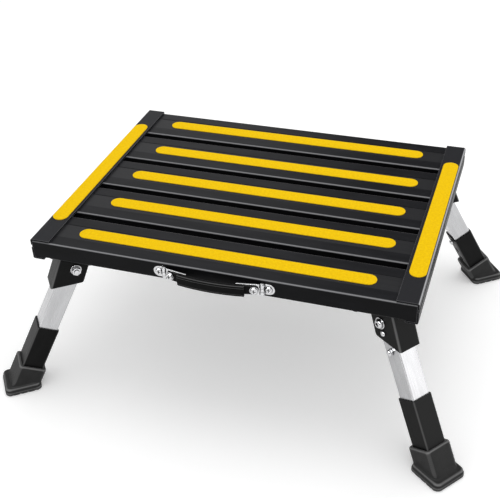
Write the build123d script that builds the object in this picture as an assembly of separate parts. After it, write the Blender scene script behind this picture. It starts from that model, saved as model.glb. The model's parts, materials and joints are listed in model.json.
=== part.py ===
from build123d import *
import os
from math import cos, radians, sin, sqrt

os.makedirs("parts", exist_ok=True)

# Sizes are in millimetres. The floor is z = 0, +X runs along the step and the handle is at -Y.

# Platform
step_length = 482.6
step_depth = 368.3
step_height = 227.0
plank_names = ["front", "front_middle", "middle", "rear_middle", "rear"]
plank_gap = 11.2
plank_height = 23.8
plank_wall = 1.8
plank_rib = 1.5
plank_rib_offset = 13.0
plank_edge_radius = 2.4
tape_land_width = 28.0
tape_land_depth = 0.4

# End caps
cap_wall = 2.5
cap_top_flange = 26.0
cap_bottom_flange = 15.0
cap_edge_radius = 2.4
cap_groove_width = 4.2
cap_groove_depth = 1.3
cap_groove_drop = 8.5

# Grip tapes, laid by hand, so each one has its own small shift along and across the plank
tape_width = 20.0
tape_thickness = 0.8
plank_tape_length = 375.5
plank_tape_shift = [(-0.9, 0.6), (5.0, 3.0), (3.0, 0.6), (5.8, -1.6), (-0.9, 0.6)]
end_tape_length = 272.0
end_tape_inset = 12.3

# Legs: each axis starts in the plane of the platform's top and runs down and outward
leg_end_inset = 56.3
leg_side_inset = 47.05
leg_plan_angle = 36.7
leg_splay = 28.0
tube_size = 25.4
tube_wall = 1.5
tube_corner = 1.5
tube_inner_corner = 0.6
sleeve_wall = 1.4
sleeve_corner = 2.0
exposed_tube = 64.5
height_travel = 40.0
height_steps = 2
tube_end_room = 4.0

# Brackets
plate_thickness = 3.0
plate_length = 62.0
plate_depth = 54.0
plate_corner = 6.0
plate_room = 1.3
bracket_sheet = 2.0
bracket_bend = 2.5
bracket_lean = 5.5
cheek_reach = 16.5
cheek_corner = 4.0
cheek_bottom = 75.0
web_bottom = 91.5
stop_pad_thickness = 4.0
stop_pad_width = 16.0
stop_pad_height = 14.0
stop_pad_inset = 2.0
stop_pad_edge = 0.8

# Pivot
pivot_along = 57.3
pivot_inset = 2.0
pivot_bolt = 6.0
pivot_bush = 10.0
bolt_flange = 15.0
bolt_flange_thickness = 1.5
bolt_head = 11.5
bolt_head_height = 4.2
bolt_socket = 4.6
bolt_socket_depth = 2.2
nut_flange = 14.2
nut_flange_thickness = 1.5
nut_flats = 10.0
nut_height = 4.6
bolt_overhang = 1.6
thrust_washer = 16.0
thrust_washer_thickness = 0.5

# Fold-lock slider and height button
lock_button = 7.0
lock_drop = 13.1
release_button = 8.0
release_drop = 37.7
lock_stand_off = 3.0
height_button = 8.0
height_hole_inset = 10.0
height_stand_off = 4.6
strip_thickness = 1.0
strip_width = 10.0
strip_overhang = 2.2
button_dome = 2.2
spring_leaf = 0.8
spring_width = 8.0
spring_reach = 30.0

# Feet
foot_size = 48.6
foot_corner = 8.0
foot_plate = 5.8
foot_plate_edge = 1.4
foot_step = 1.4
foot_flange = 10.4
foot_flange_edge = 2.2
foot_tread_edge = 1.0
foot_sole = 6.0
boot_wall = 4.1
boot_edge = 1.5
boot_depth = 24.0
skirt_rise = 8.0
skirt_margin = 2.5
skirt_overlap = 0.4
skirt_corner = 8.5
tread_groove = 2.0
tread_groove_depth = 1.4
tread_groove_pitch = 10.0

# Rivets
bracket_rivet = 6.4
bracket_rivet_head = 9.5
bracket_rivet_dome = 2.4
bracket_rivet_inset = 5.3
cap_rivet = 4.8
cap_rivet_head = 8.5
cap_rivet_dome = 1.6
rivet_tail = 2.5
rivet_tail_swell = 1.0

# Handle
pin_half_span = 61.0
pin_diameter = 2.8
barrel_diameter = 5.5
leaf_thickness = 1.5
leaf_height = 14.5
fixed_leaf_length = 14.6
screw_half_span = 68.6
screw_shank = 4.0
screw_length = 9.0
screw_head = 8.5
screw_head_height = 2.2
screw_slot = 1.1
strap_rivet_half_span = 51.8
rivet_washer = 10.5
rivet_washer_thickness = 0.8
arm_tip_half_span = 31.0
strap_half_span = 42.0
strap_thickness = 4.75
strap_height = 15.0
strap_drop = 0.5
strap_edge = 1.4
tongue_thickness = 1.0
tongue_height = 12.0
tongue_half_span = 55.0
handle_bow = 10.75

# Clearances
slide_clearance = 0.3
pivot_clearance = 0.05
button_clearance = 0.3
fastener_clearance = 0.05
stop_clearance = 0.5
cheek_clearance = 0.8
boot_clearance = 0.1
knuckle_clearance = 0.35
strap_clearance = 0.25
spring_clearance = 0.3

# Derived platform values
plank_width = (step_depth - plank_gap * (len(plank_names) - 1)) / len(plank_names)
plank_pitch = plank_width + plank_gap
plank_length = step_length - 2 * cap_wall
plank_top = step_height - cap_wall
plank_bottom = plank_top - plank_height
plank_centres = [(index - (len(plank_names) - 1) / 2) * plank_pitch for index in range(len(plank_names))]
cap_bottom = plank_bottom - cap_wall
fascia_y = -step_depth / 2

# Derived leg values. Along a leg, x points outward, y to the right-hand cheek and z down its axis.
leg_axis_x = step_length / 2 - leg_end_inset
leg_axis_y = step_depth / 2 - leg_side_inset
splay_cos = cos(radians(leg_splay))
splay_sin = sin(radians(leg_splay))
sleeve_inner = tube_size + 2 * slide_clearance
sleeve_size = sleeve_inner + 2 * sleeve_wall
sleeve_top = web_bottom + exposed_tube
sleeve_end = (step_height - foot_sole - sleeve_size / 2 * splay_sin) / splay_cos
tube_end = sleeve_end - height_travel - tube_end_room
tube_inside = tube_size / 2 - tube_wall
tube_round = tube_size / 2 + pivot_inset
cheek_inside = tube_size / 2 + cheek_clearance
cheek_outside = cheek_inside + bracket_sheet
lean_cos = cos(radians(bracket_lean))
lean_sin = sin(radians(bracket_lean))
stop_pad_bottom = web_bottom - stop_pad_inset
pad_touch = tube_size / 2 + stop_clearance + pivot_inset + (stop_pad_bottom - pivot_along) * lean_sin
web_inside = pad_touch / lean_cos - pivot_inset + stop_pad_thickness
web_outside = web_inside + bracket_sheet
height_button_along = sleeve_top + height_hole_inset
height_step = height_travel / height_steps
lock_along = pivot_along + lock_drop
release_along = pivot_along + release_drop
button_tip = cheek_outside + lock_stand_off
height_tip = sleeve_size / 2 + height_stand_off
strip_face = tube_inside - button_clearance
strip_back = strip_face - strip_thickness

# Derived bracket plate values
plate_outer = step_length / 2 - cap_bottom_flange - plate_room
plate_x = plate_outer - plate_length / 2
plate_y = plank_centres[-1]
plate_bottom = plank_bottom - plate_thickness

# Derived handle values
handle_z = plank_top - plank_height / 2
pin_out = barrel_diameter / 2 + knuckle_clearance
bow_rise = handle_bow - pin_out
bow_radius = (pin_half_span**2 + bow_rise**2) / (2 * bow_rise)
bow_centre_y = fascia_y + bow_radius - handle_bow
strap_back = leaf_thickness / 2 + strap_clearance
rivet_seat = strap_back + tongue_thickness + strap_clearance
knuckle_height = leaf_height / 3
knuckle_room = barrel_diameter / 2 + knuckle_clearance

corners = {
    "front_left": (-1, -1),
    "front_right": (1, -1),
    "rear_left": (-1, 1),
    "rear_right": (1, 1),
}


def save(name, *solids):
    shape = solids[0] if len(solids) == 1 else Compound(list(solids))
    export_step(shape, f"parts/{name}.step")


def leg_frame(corner):
    side, end = corners[corner]
    outward = Vector(
        side * cos(radians(leg_plan_angle)),
        end * sin(radians(leg_plan_angle)),
        0,
    )
    up = Vector(0, 0, 1)
    down_leg = outward * splay_sin - up * splay_cos
    out_of_leg = outward * splay_cos + up * splay_sin
    top_point = (side * leg_axis_x, end * leg_axis_y, step_height)
    return Plane(origin=top_point, x_dir=out_of_leg, z_dir=down_leg)


def foot_frame(corner):
    side, end = corners[corner]
    reach = step_height * splay_sin / splay_cos
    plan_cos = cos(radians(leg_plan_angle))
    plan_sin = sin(radians(leg_plan_angle))
    on_floor = (
        side * (leg_axis_x + reach * plan_cos),
        end * (leg_axis_y + reach * plan_sin),
        0,
    )
    return Plane(origin=on_floor, x_dir=(side * plan_cos, end * plan_sin, 0), z_dir=(0, 0, 1))


def square_bar(size, corner, start, end):
    bar = extrude(RectangleRounded(size, size, corner), end - start)
    return Pos(0, 0, start) * bar


def pin_y(diameter, start, end, x=0.0, z=0.0):
    pin = Cylinder(diameter / 2, end - start, align=(Align.CENTER, Align.CENTER, Align.MIN))
    return Pos(x, start, z) * Rot(-90, 0, 0) * pin


def pin_x(diameter, start, end, y=0.0, z=0.0):
    pin = Cylinder(diameter / 2, end - start, align=(Align.CENTER, Align.CENTER, Align.MIN))
    return Pos(start, y, z) * Rot(0, 90, 0) * pin


def pin_z(diameter, start, end, x=0.0, y=0.0):
    pin = Cylinder(diameter / 2, end - start, align=(Align.CENTER, Align.CENTER, Align.MIN))
    return Pos(x, y, start) * pin


def block(x_range, y_range, z_range):
    size = [high - low for low, high in (x_range, y_range, z_range)]
    middle = [(high + low) / 2 for low, high in (x_range, y_range, z_range)]
    return Pos(*middle) * Box(*size)


def rivet(shank, head, dome, grip, x, y, head_face):
    body = pin_z(shank, head_face - dome / 2, head_face + grip + rivet_tail / 2, x, y)
    cap = pin_z(head, head_face - dome, head_face, x, y)
    cap = fillet(cap.edges().group_by(Axis.Z)[0], dome * 0.8)
    tail = pin_z(shank + 2 * rivet_tail_swell, head_face + grip, head_face + grip + rivet_tail, x, y)
    tail = fillet(tail.edges().group_by(Axis.Z)[-1], rivet_tail / 2)
    return body + cap + tail


# Where each rivet goes, as plan positions
bracket_rivet_spots = []
for side, end in corners.values():
    for along in (-1, 1):
        for across in (-1, 1):
            spot_x = side * (plate_x + along * (plate_length / 2 - bracket_rivet_inset))
            spot_y = end * (plate_y + across * (plate_depth / 2 - bracket_rivet_inset))
            bracket_rivet_spots.append((spot_x, spot_y))
cap_rivet_x = step_length / 2 - cap_bottom_flange / 2
cap_rivet_spots = [(side * cap_rivet_x, y) for side in (-1, 1) for y in plank_centres]


def plank(centre):
    profile = RectangleRounded(plank_width, plank_height, plank_edge_radius)
    cell_edge = plank_width / 2 - plank_wall
    cell_height = plank_height - 2 * plank_wall
    cell_sides = [-cell_edge, -plank_rib_offset, plank_rib_offset, cell_edge]
    for index in range(3):
        low = cell_sides[index] + (plank_rib / 2 if index > 0 else 0)
        high = cell_sides[index + 1] - (plank_rib / 2 if index < 2 else 0)
        profile -= Pos((low + high) / 2, 0) * Rectangle(high - low, cell_height)
    land = Rectangle(tape_land_width, 2 * tape_land_depth)
    profile -= Pos(0, plank_height / 2) * land
    start = Pos(-plank_length / 2, centre, plank_top - plank_height / 2)
    body = start * extrude(Plane.YZ * profile, plank_length)
    for spots, shank in ((bracket_rivet_spots, bracket_rivet), (cap_rivet_spots, cap_rivet)):
        bore = shank + 2 * fastener_clearance
        for x, y in spots:
            if abs(y - centre) < plank_width / 2:
                body -= pin_z(bore, plank_bottom - 1, plank_bottom + plank_wall + 1, x, y)
    return body


# Planks and their tapes
for name, centre, shift in zip(plank_names, plank_centres, plank_tape_shift):
    body = plank(centre)
    if name == "front":
        for side in (-1, 1):
            bore = screw_shank + 2 * fastener_clearance
            body -= pin_y(bore, fascia_y - 1, fascia_y + plank_wall + 1, side * screw_half_span, handle_z)
    save(f"{name}_plank", body)
    tape = extrude(SlotOverall(plank_tape_length, tape_width), tape_thickness)
    save(f"{name}_grip_tape", Pos(shift[0], centre + shift[1], plank_top - tape_land_depth) * tape)

# End caps with their tapes
for name, side in (("left", -1), ("right", 1)):
    face = step_length / 2
    cap = block((face - cap_top_flange, face), (-step_depth / 2, step_depth / 2), (cap_bottom, step_height))
    long_edges = cap.edges().filter_by(Axis.Y).group_by(Axis.X)[-1]
    cap = fillet(long_edges, cap_edge_radius)
    cap -= block(
        (face - cap_top_flange - 1, face - cap_wall),
        (-step_depth, step_depth),
        (plank_bottom, plank_top),
    )
    cap -= block(
        (face - cap_top_flange - 1, face - cap_bottom_flange),
        (-step_depth, step_depth),
        (cap_bottom - 1, plank_bottom + 1),
    )
    groove_z = step_height - cap_groove_drop
    cap -= block(
        (face - cap_groove_depth, face + 1),
        (-step_depth, step_depth),
        (groove_z - cap_groove_width, groove_z),
    )
    for x, y in cap_rivet_spots:
        if x > 0:
            bore = cap_rivet + 2 * fastener_clearance
            cap -= pin_z(bore, cap_bottom - 1, plank_bottom + 1, x, y)
    cap = cap if side > 0 else mirror(cap, Plane.YZ)
    save(f"{name}_end_cap", cap)
    tape = Rot(0, 0, 90) * extrude(SlotOverall(end_tape_length, tape_width), tape_thickness)
    save(f"{name}_end_tape", Pos(side * (face - end_tape_inset), 0, step_height) * tape)

cap_rivets = [
    rivet(cap_rivet, cap_rivet_head, cap_rivet_dome, cap_wall + plank_wall, x, y, cap_bottom)
    for x, y in cap_rivet_spots
]
save("end_cap_rivets", *cap_rivets)
bracket_rivets = [
    rivet(
        bracket_rivet,
        bracket_rivet_head,
        bracket_rivet_dome,
        plate_thickness + plank_wall,
        x,
        y,
        plate_bottom,
    )
    for x, y in bracket_rivet_spots
]
save("bracket_rivets", *bracket_rivets)


# Bracket: a folded U welded under a plate. It stands more upright than the leg, which stops on a pad in it.
bracket_pivot = Pos(-pivot_inset, 0, pivot_along)
bracket_tilt = bracket_pivot * Rot(0, -bracket_lean, 0) * bracket_pivot.inverse()


def bracket(corner):
    side, end = corners[corner]
    outline = Polyline(
        (-cheek_reach, 0),
        (web_outside, 0),
        (web_outside, web_bottom),
        (-cheek_reach, cheek_bottom),
        close=True,
    )
    cheek = make_face(outline)
    inner_corner = cheek.vertices().sort_by_distance((-cheek_reach, cheek_bottom, 0))[0]
    cheek = fillet(inner_corner, cheek_corner)
    upright = Plane(origin=(0, cheek_outside, 0), x_dir=(1, 0, 0), z_dir=(0, -1, 0))
    channel = extrude(upright * cheek, 2 * cheek_outside)
    bends = channel.edges().filter_by(Axis.Z).group_by(Axis.X)[-1]
    channel = fillet(bends, bracket_bend)
    channel -= block(
        (-cheek_reach - 1, web_inside),
        (-cheek_inside, cheek_inside),
        (-1, web_bottom + 1),
    )
    channel = bracket_tilt * channel
    bore = pivot_bolt + 2 * fastener_clearance
    channel -= pin_y(bore, -cheek_outside - 1, cheek_outside + 1, -pivot_inset, pivot_along)
    lock_bore = lock_button + 2 * button_clearance
    channel -= pin_y(lock_bore, cheek_inside - 1, cheek_outside + 1, -pivot_inset, lock_along)
    placed = leg_frame(corner) * channel
    spread = step_length
    placed -= block((-spread, spread), (-spread, spread), (plate_bottom, step_height + spread))
    plate = extrude(RectangleRounded(plate_length, plate_depth, plate_corner), plate_thickness)
    plate = Pos(side * plate_x, end * plate_y, plate_bottom) * plate
    for x, y in bracket_rivet_spots:
        if x * side > 0 and y * end > 0:
            bore = bracket_rivet + 2 * fastener_clearance
            plate -= pin_z(bore, plate_bottom - 1, plank_bottom + 1, x, y)
    return placed + plate


def stop_pad():
    pad = block(
        (web_inside - stop_pad_thickness, web_inside),
        (-stop_pad_width / 2, stop_pad_width / 2),
        (stop_pad_bottom - stop_pad_height, stop_pad_bottom),
    )
    pad = fillet(pad.edges().group_by(Axis.X)[0], stop_pad_edge)
    return bracket_tilt * pad


# Pivot hardware, in the leg's own directions
def pivot_bolt_solid():
    nut_face = -cheek_outside - nut_flange_thickness - nut_height - bolt_overhang
    shank = pin_y(pivot_bolt, nut_face, cheek_outside)
    flange = pin_y(bolt_flange, cheek_outside, cheek_outside + bolt_flange_thickness)
    flange = fillet(flange.edges().group_by(Axis.Y)[-1], bolt_flange_thickness / 3)
    crown = cheek_outside + bolt_flange_thickness + bolt_head_height
    head = pin_y(bolt_head, cheek_outside, crown)
    head = fillet(head.edges().group_by(Axis.Y)[-1], bolt_head_height * 0.7)
    socket = extrude(RegularPolygon(bolt_socket / sqrt(3), 6), bolt_socket_depth + 1)
    head -= Pos(0, crown - bolt_socket_depth, 0) * Rot(-90, 0, 0) * socket
    return Pos(-pivot_inset, 0, pivot_along) * (shank + flange + head)


def pivot_nut_solid():
    flange = pin_y(nut_flange, -cheek_outside - nut_flange_thickness, -cheek_outside)
    flange = fillet(flange.edges().group_by(Axis.Y)[0], nut_flange_thickness / 3)
    hexagon = extrude(RegularPolygon(nut_flats / sqrt(3), 6), nut_height)
    hexagon = Pos(0, -cheek_outside - nut_flange_thickness, 0) * Rot(90, 0, 0) * hexagon
    bore = pivot_bolt + 2 * fastener_clearance
    drill = pin_y(bore, -cheek_outside - nut_flange_thickness - nut_height - 1, -cheek_outside + 1)
    return Pos(-pivot_inset, 0, pivot_along) * (flange + hexagon - drill)


def pivot_bush_solid():
    bush = pin_y(pivot_bush, -cheek_inside, cheek_inside)
    bush -= pin_y(pivot_bolt + 2 * fastener_clearance, -cheek_outside, cheek_outside)
    return Pos(-pivot_inset, 0, pivot_along) * bush


def thrust_washer_solid(cheek):
    faces = sorted((cheek * cheek_inside, cheek * (cheek_inside - thrust_washer_thickness)))
    washer = pin_y(thrust_washer, faces[0], faces[1])
    washer -= pin_y(pivot_bush + 2 * fastener_clearance, -cheek_outside, cheek_outside)
    return Pos(-pivot_inset, 0, pivot_along) * washer


# Upper tube: its top end is round about the pivot, so that it clears the web as it folds
def upper_tube():
    profile = RectangleRounded(tube_size, tube_size, tube_corner)
    profile -= RectangleRounded(2 * tube_inside, 2 * tube_inside, tube_inner_corner)
    start = pivot_along - tube_round
    tube = Pos(0, 0, start) * extrude(profile, tube_end - start)
    crown = block((-tube_size, tube_size), (-tube_size, tube_size), (start - 1, pivot_along))
    crown -= pin_y(2 * tube_round, -tube_size, tube_size, -pivot_inset, pivot_along)
    tube -= crown
    bore = pivot_bush + 2 * pivot_clearance
    tube -= pin_y(bore, -tube_size, tube_size, -pivot_inset, pivot_along)
    for along, button in ((lock_along, lock_button), (release_along, release_button)):
        tube -= pin_y(button + 2 * button_clearance, 0, tube_size, -pivot_inset, along)
    tube -= pin_x(height_button + 2 * button_clearance, -tube_size, 0, 0, height_button_along)
    return tube


def lower_sleeve():
    sleeve = square_bar(sleeve_size, sleeve_corner, sleeve_top, sleeve_end)
    sleeve -= square_bar(sleeve_inner, tube_corner, sleeve_top - 1, sleeve_end + 1)
    for index in range(height_steps + 1):
        along = height_button_along + index * height_step
        sleeve -= pin_x(height_button + 2 * button_clearance, -sleeve_size, 0, 0, along)
    return sleeve


# Sliders: round buttons on a flat strip that lies inside the tube wall
def fold_slider():
    strip_top = lock_along - lock_button / 2 - strip_overhang / 2
    strip_bottom = release_along + release_button / 2 + strip_overhang
    strip = block(
        (-pivot_inset - strip_width / 2, -pivot_inset + strip_width / 2),
        (strip_back, strip_face),
        (strip_top, strip_bottom),
    )
    for along, button in ((lock_along, lock_button), (release_along, release_button)):
        plunger = pin_y(button, strip_back, button_tip, -pivot_inset, along)
        strip += fillet(plunger.edges().group_by(Axis.Y)[-1], button_dome)
    return strip


def height_slider():
    reach = height_button / 2 + strip_overhang
    strip = block(
        (-strip_face, -strip_back),
        (-strip_width / 2, strip_width / 2),
        (height_button_along - reach, height_button_along + reach),
    )
    plunger = pin_x(height_button, -height_tip, -strip_back, 0, height_button_along)
    return strip + fillet(plunger.edges().group_by(Axis.X)[0], button_dome)


# Leaf springs: a V whose foot lies on the far wall and whose free end presses on the strip
def leaf_spring(middle):
    foot_line = -tube_inside + spring_leaf / 2
    tip_line = strip_back - spring_clearance - spring_leaf
    path = Polyline(
        (foot_line, middle),
        (foot_line, middle + spring_reach),
        (tip_line, middle),
    )
    leaf = extrude(Plane.YZ * trace(path, spring_leaf), spring_width)
    return Pos(-spring_width / 2, 0, 0) * leaf


def lock_springs():
    fold_spring = Pos(-pivot_inset, 0, 0) * leaf_spring((lock_along + release_along) / 2)
    height_spring = Rot(0, 0, 90) * leaf_spring(height_button_along - strip_overhang)
    return fold_spring, height_spring


# Foot: a boot round the sleeve's end, with a skirt that spreads onto a stepped square flange
def foot(corner):
    plate = extrude(RectangleRounded(foot_size, foot_size, foot_corner), foot_plate)
    plate = fillet(plate.edges().group_by(Axis.Z)[-1], foot_plate_edge)
    plate = fillet(plate.edges().group_by(Axis.Z)[0], foot_tread_edge)
    flange_size = foot_size - 2 * foot_step
    flange_corner = foot_corner - foot_step
    flange_start = foot_plate / 2
    flange = extrude(RectangleRounded(flange_size, flange_size, flange_corner), foot_flange - flange_start)
    flange = Pos(0, 0, flange_start) * fillet(flange.edges().group_by(Axis.Z)[-1], foot_flange_edge)

    rim = sleeve_end - boot_depth
    boot_size = sleeve_size + 2 * boot_wall
    boot_corner = sleeve_corner + boot_wall / 2
    boot = square_bar(boot_size, boot_corner, rim, step_height / splay_cos)
    boot = leg_frame(corner) * fillet(boot.edges().group_by(Axis.Z)[0], boot_edge)
    boot -= block((-step_length, step_length), (-step_length, step_length), (-step_length, foot_plate))

    skirt_top = foot_flange + skirt_rise
    skirt_low = flange_size - 2 * skirt_margin
    skirt_high = boot_size - 2 * skirt_overlap
    skirt = loft(
        [
            Pos(0, 0, foot_plate) * RectangleRounded(skirt_low, skirt_low, skirt_corner),
            Pos(-skirt_top * splay_sin / splay_cos, 0, skirt_top)
            * RectangleRounded(skirt_high / splay_cos, skirt_high, skirt_corner),
        ]
    )

    pocket = sleeve_size + 2 * boot_clearance
    hollow = square_bar(pocket, sleeve_corner + boot_clearance, rim - 1, sleeve_end)
    body = foot_frame(corner) * (plate + flange + skirt) + boot
    body -= leg_frame(corner) * hollow
    groove_count = 2 * int((foot_size / 2 - foot_corner) / tread_groove_pitch + 0.5)
    for index in range(groove_count):
        middle = (index - (groove_count - 1) / 2) * tread_groove_pitch
        groove = block(
            (middle - tread_groove / 2, middle + tread_groove / 2),
            (-foot_size, foot_size),
            (-1, tread_groove_depth),
        )
        body -= foot_frame(corner) * groove
    return body


bolts = []
nuts = []
bushes = []
washers = []
pads = []
for corner in corners:
    frame = leg_frame(corner)
    save(f"{corner}_bracket", bracket(corner))
    save(f"{corner}_upper_tube", frame * upper_tube())
    save(f"{corner}_lower_sleeve", frame * lower_sleeve())
    save(f"{corner}_foot", foot(corner))
    save(f"{corner}_fold_button", frame * fold_slider())
    save(f"{corner}_height_button", frame * height_slider())
    save(f"{corner}_lock_springs", *[frame * spring for spring in lock_springs()])
    pads.append(frame * stop_pad())
    bolts.append(frame * pivot_bolt_solid())
    nuts.append(frame * pivot_nut_solid())
    bushes.append(frame * pivot_bush_solid())
    washers += [frame * thrust_washer_solid(cheek) for cheek in (-1, 1)]
save("stop_pads", *pads)
save("pivot_bolts", *bolts)
save("pivot_nuts", *nuts)
save("pivot_bushes", *bushes)
save("thrust_washers", *washers)


# Handle: every layer lies on one shallow bow through the two hinge pins
def bow_layer(inner, outer, x_range, height, middle_z):
    ring = Circle(bow_radius + outer) - Circle(bow_radius + inner)
    width = x_range[1] - x_range[0]
    window = Pos((x_range[0] + x_range[1]) / 2, -bow_radius) * Rectangle(width, bow_radius)
    layer = extrude(ring & window, height)
    return Pos(0, bow_centre_y, middle_z - height / 2) * layer


pin_y_place = fascia_y - pin_out
handle_low = handle_z - leaf_height / 2
handle_high = handle_z + leaf_height / 2
middle_low = handle_z - knuckle_height / 2
middle_high = handle_z + knuckle_height / 2


def fixed_leaf():
    outline = Pos(pin_half_span, 0) * SlotOverall(2 * fixed_leaf_length, leaf_height)
    upright = Plane(origin=(0, fascia_y, handle_z), x_dir=(1, 0, 0), z_dir=(0, -1, 0))
    leaf = extrude(upright * outline, leaf_thickness)
    leaf -= block((0, pin_half_span), (fascia_y - 9, fascia_y + 9), (handle_low - 1, handle_high + 1))
    leaf += pin_z(barrel_diameter, handle_low, handle_high, pin_half_span, pin_y_place)
    leaf -= block(
        (pin_half_span - knuckle_room - 1, pin_half_span + knuckle_room),
        (fascia_y - 4 * pin_out, fascia_y + 1),
        (middle_low - knuckle_clearance, middle_high + knuckle_clearance),
    )
    leaf -= pin_z(
        pin_diameter + 2 * fastener_clearance,
        handle_low - 1,
        handle_high + 1,
        pin_half_span,
        pin_y_place,
    )
    bore = screw_shank + 2 * fastener_clearance
    leaf -= pin_y(bore, fascia_y - 2 * pin_out, fascia_y + 1, screw_half_span, handle_z)
    return leaf


def swinging_leaf():
    shoulder = pin_half_span - knuckle_room
    half_leaf = leaf_thickness / 2
    arm = bow_layer(-half_leaf, half_leaf, (arm_tip_half_span, shoulder), leaf_height, handle_z)
    arm += bow_layer(-half_leaf, half_leaf, (shoulder - 1, pin_half_span), knuckle_height, handle_z)
    barrel = pin_z(barrel_diameter, middle_low, middle_high, pin_half_span, pin_y_place)
    leaf = arm + barrel
    leaf -= pin_z(
        pin_diameter + 2 * pivot_clearance,
        handle_low - 1,
        handle_high + 1,
        pin_half_span,
        pin_y_place,
    )
    leaf -= strap_rivet_place() * pin_z(screw_shank + 2 * fastener_clearance, -9, 9)
    return leaf


def strap_rivet_place():
    rise = sqrt(bow_radius**2 - strap_rivet_half_span**2)
    outward = Vector(strap_rivet_half_span, -rise, 0) * (1 / bow_radius)
    spot = (strap_rivet_half_span, bow_centre_y - rise, handle_z)
    return Plane(origin=spot, x_dir=(0, 0, 1), z_dir=outward)


def cross_slot(head_face):
    slot_depth = screw_head_height * 0.6
    slot_length = screw_head * 0.55
    slots = Box(slot_length, screw_slot, 2 * slot_depth) + Box(screw_slot, slot_length, 2 * slot_depth)
    return Pos(0, 0, head_face) * slots


def pan_head(seat):
    head = pin_z(screw_head, seat, seat + screw_head_height)
    head = fillet(head.edges().group_by(Axis.Z)[-1], screw_head_height * 0.7)
    return head - cross_slot(seat + screw_head_height)


def strap_rivet():
    head_seat = rivet_seat + rivet_washer_thickness
    tail = -leaf_thickness / 2 - fastener_clearance
    shank = pin_z(screw_shank, tail - 0.8, head_seat + screw_head_height / 3)
    washer = pin_z(rivet_washer, rivet_seat, head_seat)
    swell = pin_z(screw_shank + 2, tail - 0.8, tail)
    return strap_rivet_place() * (shank + washer + pan_head(head_seat) + swell)


def fixed_screw():
    place = Plane(origin=(screw_half_span, fascia_y, handle_z), x_dir=(1, 0, 0), z_dir=(0, -1, 0))
    shank = pin_z(screw_shank, leaf_thickness - screw_length, leaf_thickness + screw_head_height / 3)
    return place * (shank + pan_head(leaf_thickness))


def hinge_pin():
    head = barrel_diameter * 0.75
    pin = pin_z(pin_diameter, handle_low - 0.6, handle_high + 0.6, pin_half_span, pin_y_place)
    pin += pin_z(head, handle_high, handle_high + 0.8, pin_half_span, pin_y_place)
    return pin + pin_z(head, handle_low - 0.8, handle_low, pin_half_span, pin_y_place)


def strap():
    span = (-strap_half_span, strap_half_span)
    strap_z = handle_z - strap_drop
    grip = bow_layer(strap_back, strap_back + strap_thickness, span, strap_height, strap_z)
    grip = fillet(grip.edges().group_by(Axis.Z)[0] + grip.edges().group_by(Axis.Z)[-1], strap_edge)
    tongue_span = (-tongue_half_span, tongue_half_span)
    tongue = bow_layer(strap_back, strap_back + tongue_thickness, tongue_span, tongue_height, handle_z)
    hole = strap_rivet_place() * pin_z(screw_shank + 2 * strap_clearance, -9, 9)
    return grip + tongue - hole - mirror(hole, Plane.YZ)


for name, is_right in (("left", False), ("right", True)):
    pieces = {"fixed_leaf": fixed_leaf(), "swinging_leaf": swinging_leaf(), "strap_rivet": strap_rivet()}
    for piece, solid in pieces.items():
        save(f"{name}_handle_{piece}", solid if is_right else mirror(solid, Plane.YZ))
save("handle_hinge_pins", hinge_pin(), mirror(hinge_pin(), Plane.YZ))
save("handle_screws", fixed_screw(), mirror(fixed_screw(), Plane.YZ))
save("handle_strap", strap())
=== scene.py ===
# %% [markdown]
# A folding entry step for a caravan
# The real step is five hollow aluminium planks held between two end channels, on four legs that fold
# flat and pull out longer. The CAD frame already holds every piece at its real size and place, so this
# lesson finishes surfaces, remoulds the soft pieces and sets up a small studio. All lengths are metres.

# %% Load the frame
import json
import math

import bmesh
import bpy
from mathutils import Matrix, Vector


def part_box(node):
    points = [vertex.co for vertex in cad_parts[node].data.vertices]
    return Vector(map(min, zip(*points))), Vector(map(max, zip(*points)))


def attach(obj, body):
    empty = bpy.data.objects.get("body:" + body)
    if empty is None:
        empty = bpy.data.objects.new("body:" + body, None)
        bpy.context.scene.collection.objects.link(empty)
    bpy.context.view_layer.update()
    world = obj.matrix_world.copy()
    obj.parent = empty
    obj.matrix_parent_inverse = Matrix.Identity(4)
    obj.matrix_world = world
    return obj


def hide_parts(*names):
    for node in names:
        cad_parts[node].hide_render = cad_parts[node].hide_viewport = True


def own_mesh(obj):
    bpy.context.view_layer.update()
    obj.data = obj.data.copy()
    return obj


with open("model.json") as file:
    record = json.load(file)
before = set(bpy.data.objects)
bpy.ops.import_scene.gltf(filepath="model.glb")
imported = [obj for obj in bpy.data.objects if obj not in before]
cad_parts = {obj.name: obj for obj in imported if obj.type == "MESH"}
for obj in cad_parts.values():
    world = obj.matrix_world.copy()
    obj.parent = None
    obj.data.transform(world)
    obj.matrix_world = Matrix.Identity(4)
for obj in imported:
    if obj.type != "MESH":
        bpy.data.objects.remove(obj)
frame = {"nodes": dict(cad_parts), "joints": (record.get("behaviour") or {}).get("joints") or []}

scene = bpy.context.scene
nodes = frame["nodes"]
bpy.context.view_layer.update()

# %% [markdown]
# The camera
# The photograph looks down on the step from its front right with a fairly long lens. A camera can be
# placed by eye, but the platform's corners and the feet pin the view down, so here its place, its three
# angles and its focal length in pixels are written out and turned into a matrix.

# %% Camera
photo_width = 500
focal_pixels = 933.2
sensor_width = 36.0
camera_place = Vector((0.3400, -0.9989, 0.8614))
camera_azimuth = math.radians(19.78)
camera_elevation = math.radians(34.57)
camera_roll = math.radians(-2.46)


def placed(name, data):
    thing = bpy.data.objects.new(name, data)
    scene.collection.objects.link(thing)
    return thing


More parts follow.
